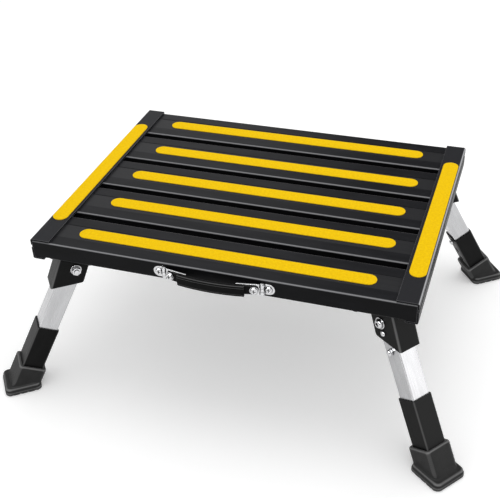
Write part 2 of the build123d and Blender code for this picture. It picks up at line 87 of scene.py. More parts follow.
def camera_turn(azimuth, elevation, roll):
    level_back = Vector((math.sin(azimuth), -math.cos(azimuth), 0))
    back = level_back * math.cos(elevation) + Vector((0, 0, math.sin(elevation)))
    right = Vector((math.cos(azimuth), math.sin(azimuth), 0))
    up = back.cross(right)
    rolled_right = right * math.cos(roll) + up * math.sin(roll)
    rolled_up = up * math.cos(roll) - right * math.sin(roll)
    return Matrix((rolled_right, rolled_up, back)).transposed()


lens = bpy.data.cameras.new("portrait_lens")
lens.sensor_fit = "HORIZONTAL"
lens.sensor_width = sensor_width
lens.lens = focal_pixels / photo_width * sensor_width
camera = placed("portrait_camera", lens)
camera_axes = camera_turn(camera_azimuth, camera_elevation, camera_roll)
camera.matrix_world = Matrix.Translation(camera_place) @ camera_axes.to_4x4()
scene.camera = camera
print(f"camera: {lens.lens:.1f} mm lens, {camera_place.length:.2f} m from the origin")

# %% [markdown]
# A workbench for node trees
# Finishes, the floor and the world are all node trees, and most of them need the same few moves: add a
# node with its settings, feed a value or a link to a socket, stretch a range, blend two colours, do a
# sum. In Blender's own calls each move takes several lines, so a small class holds them once. Noise
# mostly stays between about a third and two thirds, so a range is stretched from there unless told
# otherwise.

# %% A bench for any node tree
class Bench:
    noise_low = 0.35
    noise_high = 0.65
    # A colour Mix node has its factor and its two colours at these places, and its colour at this output
    mix_inputs = (0, 6, 7)
    mix_output = 2

    def __init__(self, owner):
        owner.use_nodes = True
        self.tree = owner.node_tree

    def add(self, kind, **settings):
        node = self.tree.nodes.new(kind)
        for setting, value in settings.items():
            setattr(node, setting, value)
        return node

    def feed(self, socket, value):
        if isinstance(value, bpy.types.NodeSocket):
            self.tree.links.new(value, socket)
        else:
            socket.default_value = value

    def between(self, value, low, high, start=noise_low, stop=noise_high):
        ranged = self.add("ShaderNodeMapRange")
        ends = {"From Min": start, "From Max": stop, "To Min": low, "To Max": high}
        for socket, number in ends.items():
            self.feed(ranged.inputs[socket], number)
        self.feed(ranged.inputs["Value"], value)
        return ranged.outputs["Result"]

    def mix(self, factor, first, second):
        blend = self.add("ShaderNodeMix", data_type="RGBA")
        for index, value in zip(self.mix_inputs, (factor, first, second)):
            self.feed(blend.inputs[index], value)
        return blend.outputs[self.mix_output]

    def math(self, operation, *values):
        sum_node = self.add("ShaderNodeMath", operation=operation)
        for socket, value in zip(sum_node.inputs, values):
            self.feed(socket, value)
        return sum_node.outputs[0]


print("moves on the bench:", [name for name in vars(Bench) if callable(getattr(Bench, name))])

# %% [markdown]
# Finishes
# A finish is a bench whose tree ends in a Principled shader. Its noise is measured in metres of the piece
# itself, so the pattern stays put when a leg folds. A single flat colour would look like plastic, so
# colour comes in patches, roughness follows a noise, and relief stacks bumps over an optional rounded
# edge.

# %% A finish on a Principled shader
micron = 1e-6


class Finish(Bench):
    bevel_samples = 6

    def __init__(self, name):
        self.material = bpy.data.materials.new(name)
        super().__init__(self.material)
        self.shader = self.tree.nodes["Principled BSDF"]

    def set(self, **constants):
        for socket, value in constants.items():
            self.shader.inputs[socket.replace("_", " ")].default_value = value

    def spot(self, grain, turn=None):
        ruler = self.add("ShaderNodeMapping", vector_type="TEXTURE")
        ruler.inputs["Scale"].default_value = grain if isinstance(grain, tuple) else (grain, grain, grain)
        if turn is not None:
            ruler.inputs["Rotation"].default_value = turn.to_euler()
        self.feed(ruler.inputs["Vector"], self.add("ShaderNodeTexCoord").outputs["Object"])
        return ruler.outputs["Vector"]

    def noise(self, grain, detail=3.0, turn=None):
        texture = self.add("ShaderNodeTexNoise")
        texture.inputs["Scale"].default_value = 1.0
        texture.inputs["Detail"].default_value = detail
        self.feed(texture.inputs["Vector"], self.spot(grain, turn))
        return texture.outputs[0]

    def patches(self, noise, first, second):
        return self.mix(self.between(noise, 0.0, 1.0), first, second)

    def colour(self, value):
        self.feed(self.shader.inputs["Base Color"], value)

    def roughness(self, noise, low, high):
        self.feed(self.shader.inputs["Roughness"], self.between(noise, low, high))

    def rounded(self, radius):
        bevel = self.add("ShaderNodeBevel", samples=self.bevel_samples)
        bevel.inputs["Radius"].default_value = radius
        return bevel.outputs["Normal"]

    def relief(self, *layers, edge=None):
        normal = self.rounded(edge) if edge else None
        for height, depth in layers:
            bump = self.add("ShaderNodeBump")
            bump.inputs["Distance"].default_value = depth
            self.feed(bump.inputs["Height"], height)
            if normal is not None:
                self.feed(bump.inputs["Normal"], normal)
            normal = bump.outputs["Normal"]
        self.feed(self.shader.inputs["Normal"], normal)


print("moves of a finish:", [name for name in vars(Finish) if callable(getattr(Finish, name))])

# %% Greys, and a way to dress nodes
tint_of_green = 0.8


def grey(level, warmth=0.0):
    return (level * (1 + warmth), level * (1 + tint_of_green * warmth), level * (1 - warmth), 1.0)


def dress(names, finish):
    for name in names:
        skin = nodes[name]
        if not skin.material_slots:
            skin.data.materials.append(None)
        for slot in skin.material_slots:
            slot.material = finish.material
    print(finish.material.name, "on", len(names), "nodes")


print("a cool dark grey is", [round(part, 4) for part in grey(0.01, -0.10)])

# %% [markdown]
# Masks from the surface's direction
# These masks place painted light: a painted highlight, in places with some wear, where a surface bends,
# and painted light from above on what faces up. Blender can find bends from the mesh's curvature, but
# these solids have large flat faces, where that comes out blotchy. The direction that the surface faces
# is
# exact, and it stays with the piece: a lip is a round edge that faces half up and half sideways, and a
# corner line faces half along each of two directions.

# %% Direction masks
lip_sharpness = 3.0
full_light_level = 0.5


def facing(finish, direction):
    dot = finish.add("ShaderNodeVectorMath", operation="DOT_PRODUCT")
    finish.feed(dot.inputs[0], finish.add("ShaderNodeTexCoord").outputs["Normal"])
    dot.inputs[1].default_value = direction
    return dot.outputs["Value"]


def facing_up(finish):
    return finish.math("MAXIMUM", facing(finish, (0, 0, 1)), 0.0)


def half_and_half(finish, first, second):
    # Equal shares of a unit direction multiply to a half, so twice that peaks at 1
    return finish.math("MULTIPLY", finish.math("MULTIPLY", first, second), 2.0)


def corner_line(finish, first, second):
    return finish.math("ABSOLUTE", half_and_half(finish, facing(finish, first), facing(finish, second)))


def lips(finish):
    up = facing_up(finish)
    side = finish.math("SQRT", finish.math("SUBTRACT", 1.0, finish.math("MULTIPLY", up, up)))
    return finish.math("POWER", half_and_half(finish, up, side), lip_sharpness)


# Painted light from above: the colour turns to the lit one as a face turns up
def lit_from_above(finish, plain_coat, painted_top_light):
    turned_up = finish.between(facing(finish, (0, 0, 1)), 0.0, 1.0, 0.0, full_light_level)
    return finish.mix(turned_up, plain_coat, painted_top_light)


full_light_lean = math.degrees(math.acos(full_light_level))
# Painted light from above is full on faces that lean less than this
print(f"dust lies in full on what leans less than {full_light_lean:.0f} degrees")

# %% [markdown]
# Satin black planks
# The planks are aluminium extrusions with a satin black finish. Die lines run along X, the tops are
# painted a little paler than the sides as painted light from above, the recessed land down the middle of
# each plank is painted paler again for the light on its flat top, and every rounded lip gets a painted
# highlight. One finish serves all five: the distance to the nearest plank's centre line, from a ping-pong
# node, finds the land on any of them.

# %% Plank finish
plank_names = [name for name in nodes if name.endswith("_plank")]
front_low, front_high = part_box("front_plank")
rear_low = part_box("rear_plank")[0]
plank_pitch = (rear_low.y - front_low.y) / (len(plank_names) - 1)
land_half = 0.014
land_edge_blur = 0.0006
die_line_length = 0.25
die_line_width = 0.0007
cloud_length = 0.05
cloud_width = 0.012
plank_lip_highlight_share = 0.75
shaded_side_blacks = (grey(0.003, -0.10), grey(0.005, -0.10))
lit_tread_blacks = (grey(0.011, -0.08), grey(0.015, -0.08))
lit_land_blacks = (grey(0.023, -0.04), grey(0.030, -0.04))
plank_lip_highlight = grey(0.34, -0.02)

plank_black = Finish("satin_black_plank")
place = plank_black.add("ShaderNodeSeparateXYZ")
plank_black.feed(place.inputs[0], plank_black.add("ShaderNodeTexCoord").outputs["Object"])
off_centre = plank_black.math("PINGPONG", place.outputs["Y"], plank_pitch / 2)
strip = plank_black.between(off_centre, 1.0, 0.0, land_half - land_edge_blur, land_half + land_edge_blur)
# Painted light from above: faces that turn up take the paler, lit blacks
top_light_share = facing_up(plank_black)
land = plank_black.math("MULTIPLY", strip, top_light_share)
lines = plank_black.noise((die_line_length, die_line_width, die_line_width), detail=4.0)
cloud = plank_black.noise((cloud_length, cloud_width, cloud_width))
shaded_side = plank_black.patches(cloud, *shaded_side_blacks)
lit_tread = plank_black.patches(cloud, *lit_tread_blacks)
# Painted light: the land is painted paler for the light on its flat top
lit_land = plank_black.patches(lines, *lit_land_blacks)
coat = plank_black.mix(land, plank_black.mix(top_light_share, shaded_side, lit_tread), lit_land)
# Painted highlight on every rounded lip
lip_highlight = plank_black.math("MULTIPLY", lips(plank_black), plank_lip_highlight_share)
plank_black.colour(plank_black.mix(lip_highlight, coat, plank_lip_highlight))
plank_black.roughness(lines, low=0.30, high=0.40)
plank_black.set(Specular_IOR_Level=0.08)
plank_black.relief((lines, 30 * micron), (cloud, 60 * micron))
dress(plank_names, plank_black)

# %% [markdown]
# End channels
# The two end channels are the same satin aluminium, extruded along Y, so the grain of the planks' recipe
# turns with them. Every edge is painted paler, partly as a thin coat and partly as a painted highlight,
# and the lips get a painted highlight as if lit from the right, so lips that face left stay dark as
# painted shade. Faces that turn up get painted light from above. The bevel node finds the edges: where
# its rounded normal parts from the true one, an edge is near.

# %% End channel finish
edge_reach = 0.0006
edge_agreement = (0.88, 0.999)
edge_wear_and_highlight = 0.3
channel_highlight_share = 0.9
shaded_lip_share = 0.05
left_side = (-0.4, -0.1)
channel_blacks = (grey(0.008, -0.06), grey(0.012, -0.06))
channel_lit_top = grey(0.027, -0.06)
channel_wear_and_highlight_grey = grey(0.60, -0.02)


def edges(finish, radius):
    agree = finish.add("ShaderNodeVectorMath", operation="DOT_PRODUCT")
    finish.feed(agree.inputs[0], finish.rounded(radius))
    finish.feed(agree.inputs[1], finish.add("ShaderNodeNewGeometry").outputs["Normal"])
    return finish.between(agree.outputs["Value"], 1.0, 0.0, *edge_agreement)


channel_black = Finish("satin_black_end_channel")
lines = channel_black.noise((die_line_width, die_line_length, die_line_width), detail=4.0)
cloud = channel_black.noise((cloud_width, cloud_length, cloud_width))
# Paler edges: partly a thin coat, partly a painted highlight
worn_and_lit_edges = channel_black.math("MULTIPLY", edges(channel_black, edge_reach), edge_wear_and_highlight)
# Painted light from the right: lips that face left keep only a little of the highlight
lit_from_right = channel_black.between(facing(channel_black, (1, 0, 0)), shaded_lip_share, 1.0, *left_side)
lip_highlight = channel_black.math("MULTIPLY", lips(channel_black), lit_from_right)
wear_and_highlight = channel_black.math("MAXIMUM", worn_and_lit_edges, lip_highlight)
wear_and_highlight = channel_black.math("MULTIPLY", wear_and_highlight, channel_highlight_share)
plain_coat = channel_black.patches(cloud, *channel_blacks)
# Painted light from above on faces that turn up
coat = lit_from_above(channel_black, plain_coat, channel_lit_top)
channel_black.colour(channel_black.mix(wear_and_highlight, coat, channel_wear_and_highlight_grey))
channel_black.roughness(lines, low=0.30, high=0.42)
channel_black.set(Specular_IOR_Level=0.04)
channel_black.relief((lines, 30 * micron), (cloud, 60 * micron))
dress(["left_end_cap", "right_end_cap"], channel_black)

# %% [markdown]
# Grit tape
# The yellow strips are grit-coated tape: mineral grains under a matte lacquer. Grains of just over half a
# millimetre come from Voronoi cells, and a broader noise thins the colour a little here and there. Real
# displacement at that scale would cost millions of faces, so the grit is relief in the shader.

# %% Tape finish
grit_size = 0.0007
fleck_size = 0.0004
patch_size = 0.0030
grain_spread = (0.1, 0.8)
grain_middle = (0.97, 0.64, 0.003, 1.0)
grain_border = (0.85, 0.51, 0.002, 1.0)
thick_lacquer = (0.99, 0.66, 0.002, 1.0)
thin_lacquer = (0.84, 0.51, 0.002, 1.0)
lacquer_share = 0.5


def cells(finish, size):
    texture = finish.add("ShaderNodeTexVoronoi")
    texture.inputs["Scale"].default_value = 1.0
    finish.feed(texture.inputs["Vector"], finish.spot(size))
    return texture.outputs["Distance"]


tape_yellow = Finish("yellow_grit_tape")
grains = cells(tape_yellow, grit_size)
flecks = tape_yellow.noise(fleck_size, detail=2.0)
lacquer = tape_yellow.noise(patch_size, detail=4.0)
grain_border_share = tape_yellow.between(grains, 0.0, 1.0, *grain_spread)
grain_colour = tape_yellow.mix(grain_border_share, grain_middle, grain_border)
lacquer_colour = tape_yellow.patches(lacquer, thick_lacquer, thin_lacquer)
tape_yellow.colour(tape_yellow.mix(lacquer_share, grain_colour, lacquer_colour))
tape_yellow.roughness(flecks, low=0.62, high=0.85)
tape_yellow.set(Specular_IOR_Level=0.05)
tape_yellow.relief((lacquer, 120 * micron), (grains, 120 * micron), (flecks, 100 * micron))
dress([name for name in nodes if name.endswith("_tape")], tape_yellow)

# %% [markdown]
# Which way each leg runs
# Drawn tube carries fine lines along its length, so its noise has to be stretched along the leg. The
# frame's joints already know that direction: the height joint slides along the leg and the fold joint
# turns about the bolt. Together they give each leg's own three axes, with no angle typed in twice.

# %% Leg directions
joints = {joint["name"]: joint for joint in frame["joints"]}
corners = ("front_left", "front_right", "rear_left", "rear_right")


def leg_turn(corner):
    up_leg = Vector(joints[f"{corner}_height"]["axis"]).normalized()
    across = Vector(joints[f"{corner}_fold"]["axis"]).normalized()
    return Matrix((across.cross(up_leg), across, up_leg)).transposed()


leg_turns = {corner: leg_turn(corner) for corner in corners}
for corner, axes in leg_turns.items():
    print(corner, "leg rises along", [round(part, 3) for part in axes.col[2]])

# %% [markdown]
# Leg tubes and sleeves
# The upper tube is satin anodised aluminium and the sleeve below it is the same metal in black. Both are
# drawn, so both carry lines along the leg. Both get a painted highlight along their four corners, partly
# rubbed paint on the sleeve, and the sleeve gets painted light from above on faces that turn up. A finish
# is made for each corner of the step, because each leg points its own way, and the leg's axes turn the
# grain.

# %% Leg finishes
draw_line = (0.0006, 0.0006, 0.12)
tube_cloud = (0.01, 0.01, 0.04)
sleeve_cloud = (0.012, 0.012, 0.03)
corner_highlight_sharpness = 3.0
tube_edge = 0.0004
satin_greys = (grey(0.50, -0.01), grey(0.56, -0.01))
corner_highlight_grey = grey(0.78, -0.01)
sleeve_blacks = (grey(0.004), grey(0.006))
sleeve_lit_top = grey(0.019)
rubbed_and_highlit_black = grey(0.09)


def leg_corners(finish, turn):
    out_of_leg = turn.col[0]
    across_leg = turn.col[1]
    return corner_line(finish, out_of_leg, across_leg)


def bright_tube_finish(corner, turn):
    finish = Finish(f"satin_tube_{corner}")
    lines = finish.noise(draw_line, detail=4.0, turn=turn)
    cloud = finish.noise(tube_cloud, turn=turn)
    satin = finish.patches(cloud, *satin_greys)
    # Painted highlight along the tube's four corners
    corner_highlight = finish.math("POWER", leg_corners(finish, turn), corner_highlight_sharpness)
    finish.colour(finish.mix(corner_highlight, satin, corner_highlight_grey))
    finish.roughness(lines, low=0.22, high=0.34)
    finish.set(Metallic=1.0)
    finish.relief((lines, 15 * micron), edge=tube_edge)
    return finish


def black_sleeve_finish(corner, turn):
    finish = Finish(f"black_sleeve_{corner}")
    lines = finish.noise(draw_line, detail=4.0, turn=turn)
    cloud = finish.noise(sleeve_cloud, turn=turn)
    plain_coat = finish.patches(cloud, *sleeve_blacks)
    # Painted light from above on faces that turn up
    coat = lit_from_above(finish, plain_coat, sleeve_lit_top)
    # Painted highlight, partly rubbed paint, along the sleeve's corners
    finish.colour(finish.mix(leg_corners(finish, turn), coat, rubbed_and_highlit_black))
    finish.roughness(lines, low=0.34, high=0.46)
    finish.set(Specular_IOR_Level=0.08)
    finish.relief((lines, 20 * micron), edge=tube_edge)
    return finish


for corner, turn in leg_turns.items():
    dress([f"{corner}_upper_tube"], bright_tube_finish(corner, turn))
    dress([f"{corner}_lower_sleeve"], black_sleeve_finish(corner, turn))

# %% [markdown]
# Powder-coated brackets
# The leg brackets are bent steel sheet under a black powder coat, which flows into a soft orange-peel
# skin and pulls thin over the bends. Two noises give the peel, and the corner line paints a paler stripe
# along each bend, partly thin powder and partly a painted highlight. Faces that turn up get painted light
# from above. That mask needs the leg's own directions, so each bracket gets a copy of the finish.

# %% Bracket finish
peel_size = 0.0016
speck_size = 0.0003
powder_cloud = 0.02
bend_edge = 0.0005
powder_blacks = (grey(0.003), grey(0.005))
powder_lit_top = grey(0.012)
thin_and_highlit_powder = grey(0.14)


def powder_finish(name, first, second):
    finish = Finish(name)
    peel = finish.noise(peel_size, detail=2.0)
    speck = finish.noise(speck_size, detail=1.0)
    plain_coat = finish.patches(finish.noise(powder_cloud), *powder_blacks)
    # Painted light from above on faces that turn up
    coat = lit_from_above(finish, plain_coat, powder_lit_top)
    # Paler stripe on each bend: thin powder and a painted highlight
    finish.colour(finish.mix(corner_line(finish, first, second), coat, thin_and_highlit_powder))
    finish.roughness(speck, low=0.36, high=0.50)
    finish.set(Specular_IOR_Level=0.10)
    finish.relief((peel, 60 * micron), (speck, 20 * micron), edge=bend_edge)
    return finish


for corner, turn in leg_turns.items():
    dress([f"{corner}_bracket"], powder_finish(f"powder_black_{corner}", turn.col[0], turn.col[1]))
dress(["bracket_rivets", "end_cap_rivets"], powder_finish("powder_black_rivets", (1, 0, 0), (0, 0, 1)))

# %% [markdown]
# Bright plated hardware
# Bolts, nuts, buttons and the handle's hinges are chrome-plated steel. A perfect mirror looks like a hole
# in a render, so the roughness carries faint smudges and fine polishing marks, and the bevel node rounds
# the sharp little edges so that each one draws a glint. Painted shade darkens the crevices and outlines
# every head: an ambient occlusion node finds the hollows, which see little of what is round them.

# %% Plated finish
smudge_size = 0.004
polish_mark = (0.0002, 0.0012, 0.0002)
plated_edge = 0.0003
crevice_shade_reach = 0.003
crevice_shade_spread = (0.12, 0.55)
hollow_samples = 8
plated_greys = (grey(0.60, -0.01), grey(0.70, -0.01))
crevice_shade_black = grey(0.02)


def crevices(finish, reach):
    hollow = finish.add("ShaderNodeAmbientOcclusion", samples=hollow_samples)
    hollow.inputs["Distance"].default_value = reach
    return finish.math("SUBTRACT", 1.0, hollow.outputs["AO"])


plated = Finish("bright_plated_steel")
smudge = plated.noise(smudge_size)
polish = plated.noise(polish_mark, detail=2.0)
bright = plated.patches(smudge, *plated_greys)
# Painted shade in the crevices, found by ambient occlusion
crevice_shade = plated.between(crevices(plated, crevice_shade_reach), 0.0, 1.0, *crevice_shade_spread)
plated.colour(plated.mix(crevice_shade, bright, crevice_shade_black))
plated.roughness(smudge, low=0.08, high=0.18)
plated.set(Metallic=1.0)
plated.relief((polish, 4 * micron), edge=plated_edge)

hardware = ["pivot_bolts", "pivot_nuts", "handle_hinge_pins", "handle_screws"]
for side in ("left", "right"):
    hardware += [f"{side}_handle_{piece}" for piece in ("fixed_leaf", "swinging_leaf", "strap_rivet")]
for corner in corners:
    hardware += [f"{corner}_fold_button", f"{corner}_height_button"]
dress(hardware, plated)

# %% [markdown]
# Pieces inside the legs
# Leaf springs, bushes and thrust washers only show when a leg folds or comes apart. They still get their
# own finishes: heat-blued spring steel, and natural nylon with the faint mottling of a moulding.

# %% Inner finishes
heat_size = 0.006
rolling_line = (0.0003, 0.0003, 0.004)
blue_steel = (0.40, 0.40, 0.43, 1.0)
straw_steel = (0.46, 0.43, 0.40, 1.0)
mottle_size = 0.002
nylon_whites = (grey(0.74, 0.03), grey(0.82, 0.02))

blued = Finish("blued_spring_steel")
rolled = blued.noise(rolling_line, detail=2.0)
blued.colour(blued.patches(blued.noise(heat_size), blue_steel, straw_steel))
blued.roughness(rolled, low=0.26, high=0.40)
blued.set(Metallic=1.0)
blued.relief((rolled, 10 * micron))
dress([f"{corner}_lock_springs" for corner in corners], blued)

nylon = Finish("natural_nylon")
mottle = nylon.noise(mottle_size)
nylon.colour(nylon.patches(mottle, *nylon_whites))
nylon.roughness(mottle, low=0.42, high=0.58)
nylon.relief((mottle, 40 * micron))
dress(["pivot_bushes", "thrust_washers"], nylon)

# %% [markdown]
# Moulded rubber feet
# Each foot is one rubber moulding, and no edge on it is sharp: inside corners sweep and outside corners
# are round. The CAD solid has the right steps but crisp creases. A voxel remesh turns a copy into even
# small faces, and a few smoothing passes then melt every crease by about a millimetre, which bevels on
# each edge could not do so evenly where the leaning boot meets the upright flange. The stop pads inside
# the brackets are the same rubber and keep their plain solid.

# %% Foot rubber
pebble_size = 0.0006
bloom_size = 0.01
ridge_spread = (0.506, 0.53)
foot_blacks = (grey(0.010), grey(0.014))
ridge_highlight_grey = grey(0.16)

foot_black = Finish("matte_foot_rubber")
pebble = foot_black.noise(pebble_size, detail=2.0)
rubber = foot_black.patches(foot_black.noise(bloom_size), *foot_blacks)
sharpness = foot_black.add("ShaderNodeNewGeometry").outputs["Pointiness"]
# Painted highlight on the sharpest ridges of the moulding
ridge_highlight = foot_black.between(sharpness, 0.0, 1.0, *ridge_spread)
foot_black.colour(foot_black.mix(ridge_highlight, rubber, ridge_highlight_grey))
foot_black.roughness(pebble, low=0.50, high=0.68)
foot_black.set(Specular_IOR_Level=0.25)
foot_black.relief((pebble, 50 * micron))
dress(["stop_pads"], foot_black)

# %% Remoulded feet
weld_reach = 1 * micron
rubber_voxel = 0.0008
melt_passes = 7
melt_strength = 0.5


def new_piece(name, mesh, finish, body, slot, *replaced):
    piece = placed(name, mesh)
    mesh.materials.clear()
    mesh.materials.append(finish.material)
    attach(piece, body)
    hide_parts(*replaced)
    return piece


def applied(piece):
    graph = bpy.context.evaluated_depsgraph_get()
    mesh = bpy.data.meshes.new_from_object(piece.evaluated_get(graph))
    bpy.data.objects.remove(piece)
    return mesh


def melted_copy(node):
    copy = placed("melting", nodes[node].data.copy())
    weld = copy.modifiers.new("weld", "WELD")
    weld.merge_threshold = weld_reach
    remesh = copy.modifiers.new("remesh", "REMESH")
    remesh.mode = "VOXEL"
    remesh.voxel_size = rubber_voxel
    remesh.use_smooth_shade = True
    relax = copy.modifiers.new("relax", "SMOOTH")
    relax.factor = melt_strength
    relax.iterations = melt_passes
    return applied(copy)


for corner in corners:
    foot = f"{corner}_foot"
    mesh = melted_copy(foot)
    new_piece(f"{corner}_moulded_foot", mesh, foot_black, f"{corner}_extension", "foot_rubber", foot)
    print(f"{corner} foot remoulded in", len(mesh.polygons), "faces")

# %% [markdown]
# Leaf springs in two leaves
# Each leg holds two bent leaf springs, one behind each button. A stiff spring would cut into the button
# that presses it, so the pair is split into its two leaves, each a piece of its own on the leg.


def furthest(mesh, direction):
    return max((vert.co for vert in mesh.vertices), key=direction.dot)


def one_spring(corner, upper):
    up_leg = leg_turns[corner].col[2]
    mesh = nodes[f"{corner}_lock_springs"].data.copy()
    leaf = bmesh.new()
    leaf.from_mesh(mesh)
    heights = [vert.co.dot(up_leg) for vert in leaf.verts]
    middle = (min(heights) + max(heights)) / 2
    other = [vert for vert in leaf.verts if (vert.co.dot(up_leg) > middle) != upper]
    bmesh.ops.delete(leaf, geom=other, context="VERTS")
    leaf.to_mesh(mesh)
    leaf.free()
    return mesh


for corner in corners:
    pair = f"{corner}_lock_springs"
    for button, upper in ((f"{corner}_fold_button", True), (f"{corner}_height_button", False)):
        mesh = one_spring(corner, upper)
        spring = new_piece(f"{button}_spring", mesh, blued, f"{corner}_leg", "spring_steel", pair)
        push = Vector(joints[f"{button}_press"]["axis"])
        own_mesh(spring)
    print(f"{corner} springs follow their buttons")

# %% [markdown]
# Lock pins
# At rest each fold button stands out through a hole in its bracket. Once the leg folds, the bracket's
# cheek holds the button in, which its own joint can't know. So a copy of the button stands in for it, and
# the point of it furthest along its push is found.

# %% Lock pins
for corner in corners:
    button = f"{corner}_fold_button"
    mesh = nodes[button].data.copy()
    pin = new_piece(f"{corner}_lock_pin", mesh, plated, button, "bright_steel", button)
    push = Vector(joints[f"{button}_press"]["axis"])
    strip = furthest(mesh, push)
    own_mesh(pin)

# %% [markdown]
# The carrying strap
# The handle's grip is a thick rubber strap, bowed away from the front plank between its two hinges. A
# curve with a bevel could sweep it, but the strap has a moulded groove along each long edge and rounded
# ends, so a short loop lays rings of its section along the bow and a bmesh joins them. The strap runs on
# as a thin tongue in front of each hinge leaf. When the handle is pushed in, the tongues swing with the
# leaves, so each tongue rides on its own leaf with its end tucked into the grip, and the grip is hollowed
# a little at the back of its ends to let the leaves pass.

# %% Bow of the strap, from the frame
strap_low, strap_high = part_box("handle_strap")
strap_height = strap_high.z - strap_low.z
strap_middle_z = (strap_high.z + strap_low.z) / 2
strap_thickness = 0.00475
strap_behind = 0.001
right_pin = Vector(joints["right_handle_hinge"]["pos_m"])
bow_rise = 0.00765
bow_radius = (right_pin.x**2 + bow_rise**2) / (2 * bow_rise)
bow_centre = Vector((0, strap_low.y + bow_radius + strap_behind + strap_thickness, 0))


def bow_point(turn, out, z):
    reach = bow_radius + strap_behind + out
    return bow_centre + Vector((reach * math.sin(turn), -reach * math.cos(turn), z))


print(f"strap: {strap_height * 1000:.1f} mm high on a bow of {bow_radius * 1000:.0f} mm radius")

# %% Strap section
strap_edge = 0.0014
least_round = 0.05
arc_steps = 6
groove_drop = 0.0030
groove_half = 0.0006
groove_depth = 0.0005
# Each groove goes in, along its floor and out again, in shares of its half width and its depth
groove_profile = ((-1, 0), (-0.4, 1), (0.4, 1), (1, 0))


def groove_points(front, height):
    points = []
    for middle in (-height / 2 + groove_drop, height / 2 - groove_drop):
        for along, sink in groove_profile:
            points.append((front - sink * groove_depth, middle + along * groove_half))
    return points


def band_section(thickness, height, edge, inset, hollow, grooved):
    half_height = height / 2 - inset
    front = thickness - inset
    back = inset + hollow
    radius = max(edge - inset, edge * least_round)
    points = []
    for centre_out, centre_up, first_turn in (
        (back + radius, -half_height + radius, 180),
        (front - radius, -half_height + radius, 270),
        (front - radius, half_height - radius, 0),
        (back + radius, half_height - radius, 90),
    ):
        if first_turn == 0 and grooved:
            points += groove_points(front, height)
        for step in range(arc_steps + 1):
            angle = math.radians(first_turn + 90 * step / arc_steps)
            points.append((centre_out + radius * math.cos(angle), centre_up + radius * math.sin(angle)))
    return points


grip_section = band_section(strap_thickness, strap_height, strap_edge, inset=0, hollow=0, grooved=True)
print("the grip's section has", len(grip_section), "points")

# %% Strap sweep
strap_half_span = 0.042
leaf_room_start = 0.0375
ring_count = 65


def room_behind(turn, room):
    past_start = abs(bow_radius * math.sin(turn)) - leaf_room_start
    return room * min(1.0, max(0.0, past_start / (strap_half_span - leaf_room_start)))


def ring_places(first, last, edge):
    round_turn = edge / bow_radius
    rings = []
    for index in range(ring_count):
        share = index / (ring_count - 1)
        rings.append((first + round_turn + share * (last - first - 2 * round_turn), 0.0))
    for step in range(1, arc_steps + 1):
        angle = math.pi / 2 * step / arc_steps
        swell = round_turn * math.sin(angle) - round_turn
        inset = edge * (1 - math.cos(angle))
        rings.append((last + swell, inset))
        rings.insert(0, (first - swell, inset))
    return rings


def finished_mesh(name, shape):
    mesh = bpy.data.meshes.new(name)
    shape.to_mesh(mesh)
    shape.free()
    return mesh


def swept_band(name, span, thickness, height, middle_z, edge, grooved=False, room=0.0):
    first, last = (math.asin(end / (bow_radius + strap_behind + thickness)) for end in sorted(span))
    band = bmesh.new()
    loops = []
    for turn, inset in ring_places(first, last, edge):
        section = band_section(thickness, height, edge, inset, room_behind(turn, room), grooved)
        loops.append([band.verts.new(bow_point(turn, out, middle_z + up)) for out, up in section])
    for here, there in zip(loops, loops[1:]):
        for index in range(len(here)):
            after = (index + 1) % len(here)
            band.faces.new((here[index], here[after], there[after], there[index]))
    band.faces.new(loops[0])
    band.faces.new(list(reversed(loops[-1])))
    bmesh.ops.recalc_face_normals(band, faces=band.faces)
    return finished_mesh(name, band)


print("a band has", ring_count + 2 * arc_steps, "rings")

# %% Rivet holes
rivet_half_span = 0.0518
rivet_hole = 0.0045
drill_length = 0.02
drill_sides = 32


def rivet_cutter(side):
    turn = side * math.asin(rivet_half_span / bow_radius)
    outward = Vector((math.sin(turn), -math.cos(turn), 0))
    aim = outward.to_track_quat("Z", "Y").to_matrix().to_4x4()
    radius = rivet_hole / 2
    drill = bmesh.new()
    bmesh.ops.create_cone(
        drill, cap_ends=True, segments=drill_sides, radius1=radius, radius2=radius, depth=drill_length
    )
    drill.transform(Matrix.Translation(bow_point(turn, 0, right_pin.z)) @ aim)
    return placed("rivet_cutter", finished_mesh("rivet_cutter", drill))


def drilled(mesh, side):
    blank = placed("tongue_blank", mesh)
    cutter = rivet_cutter(side)
    cut = blank.modifiers.new("rivet_hole", "BOOLEAN")
    cut.operation = "DIFFERENCE"
    cut.solver = "EXACT"
    cut.object = cutter
    result = applied(blank)
    bpy.data.objects.remove(cutter)
    return result


print(f"rivet holes {rivet_hole * 1000:.1f} mm wide, {rivet_half_span * 2000:.1f} mm apart")

# %% [markdown]
# Strap rubber
# The strap is a smooth black rubber, darker than the feet, with a painted highlight where its upper edges
# turn. The lips mask draws that highlight, and fine pores keep the surface from looking like glass.

# %% Strap finish
pore_size = 0.0004
strap_cloud = 0.006
strap_blacks = (grey(0.002), grey(0.004))
strap_lip_highlight = grey(0.09)

strap_black = Finish("smooth_strap_rubber")
pores = strap_black.noise(pore_size, detail=2.0)
rubber = strap_black.patches(strap_black.noise(strap_cloud), *strap_blacks)
# Painted highlight along the strap's rounded lips
strap_black.colour(strap_black.mix(lips(strap_black), rubber, strap_lip_highlight))
strap_black.roughness(pores, low=0.40, high=0.55)
strap_black.set(Specular_IOR_Level=0.06)
strap_black.relief((pores, 30 * micron))
print("strap finish has", len(strap_black.tree.nodes), "nodes")

# %% Strap pieces
leaf_room = 0.0013
tongue_span = (0.039, 0.055)
tongue_thickness = 0.001
tongue_height = 0.012
tongue_edge = 0.0003
crease_angle = math.radians(40)


def smoothed(mesh):
    mesh.shade_smooth()
    mesh.set_sharp_from_angle(angle=crease_angle)
    return mesh


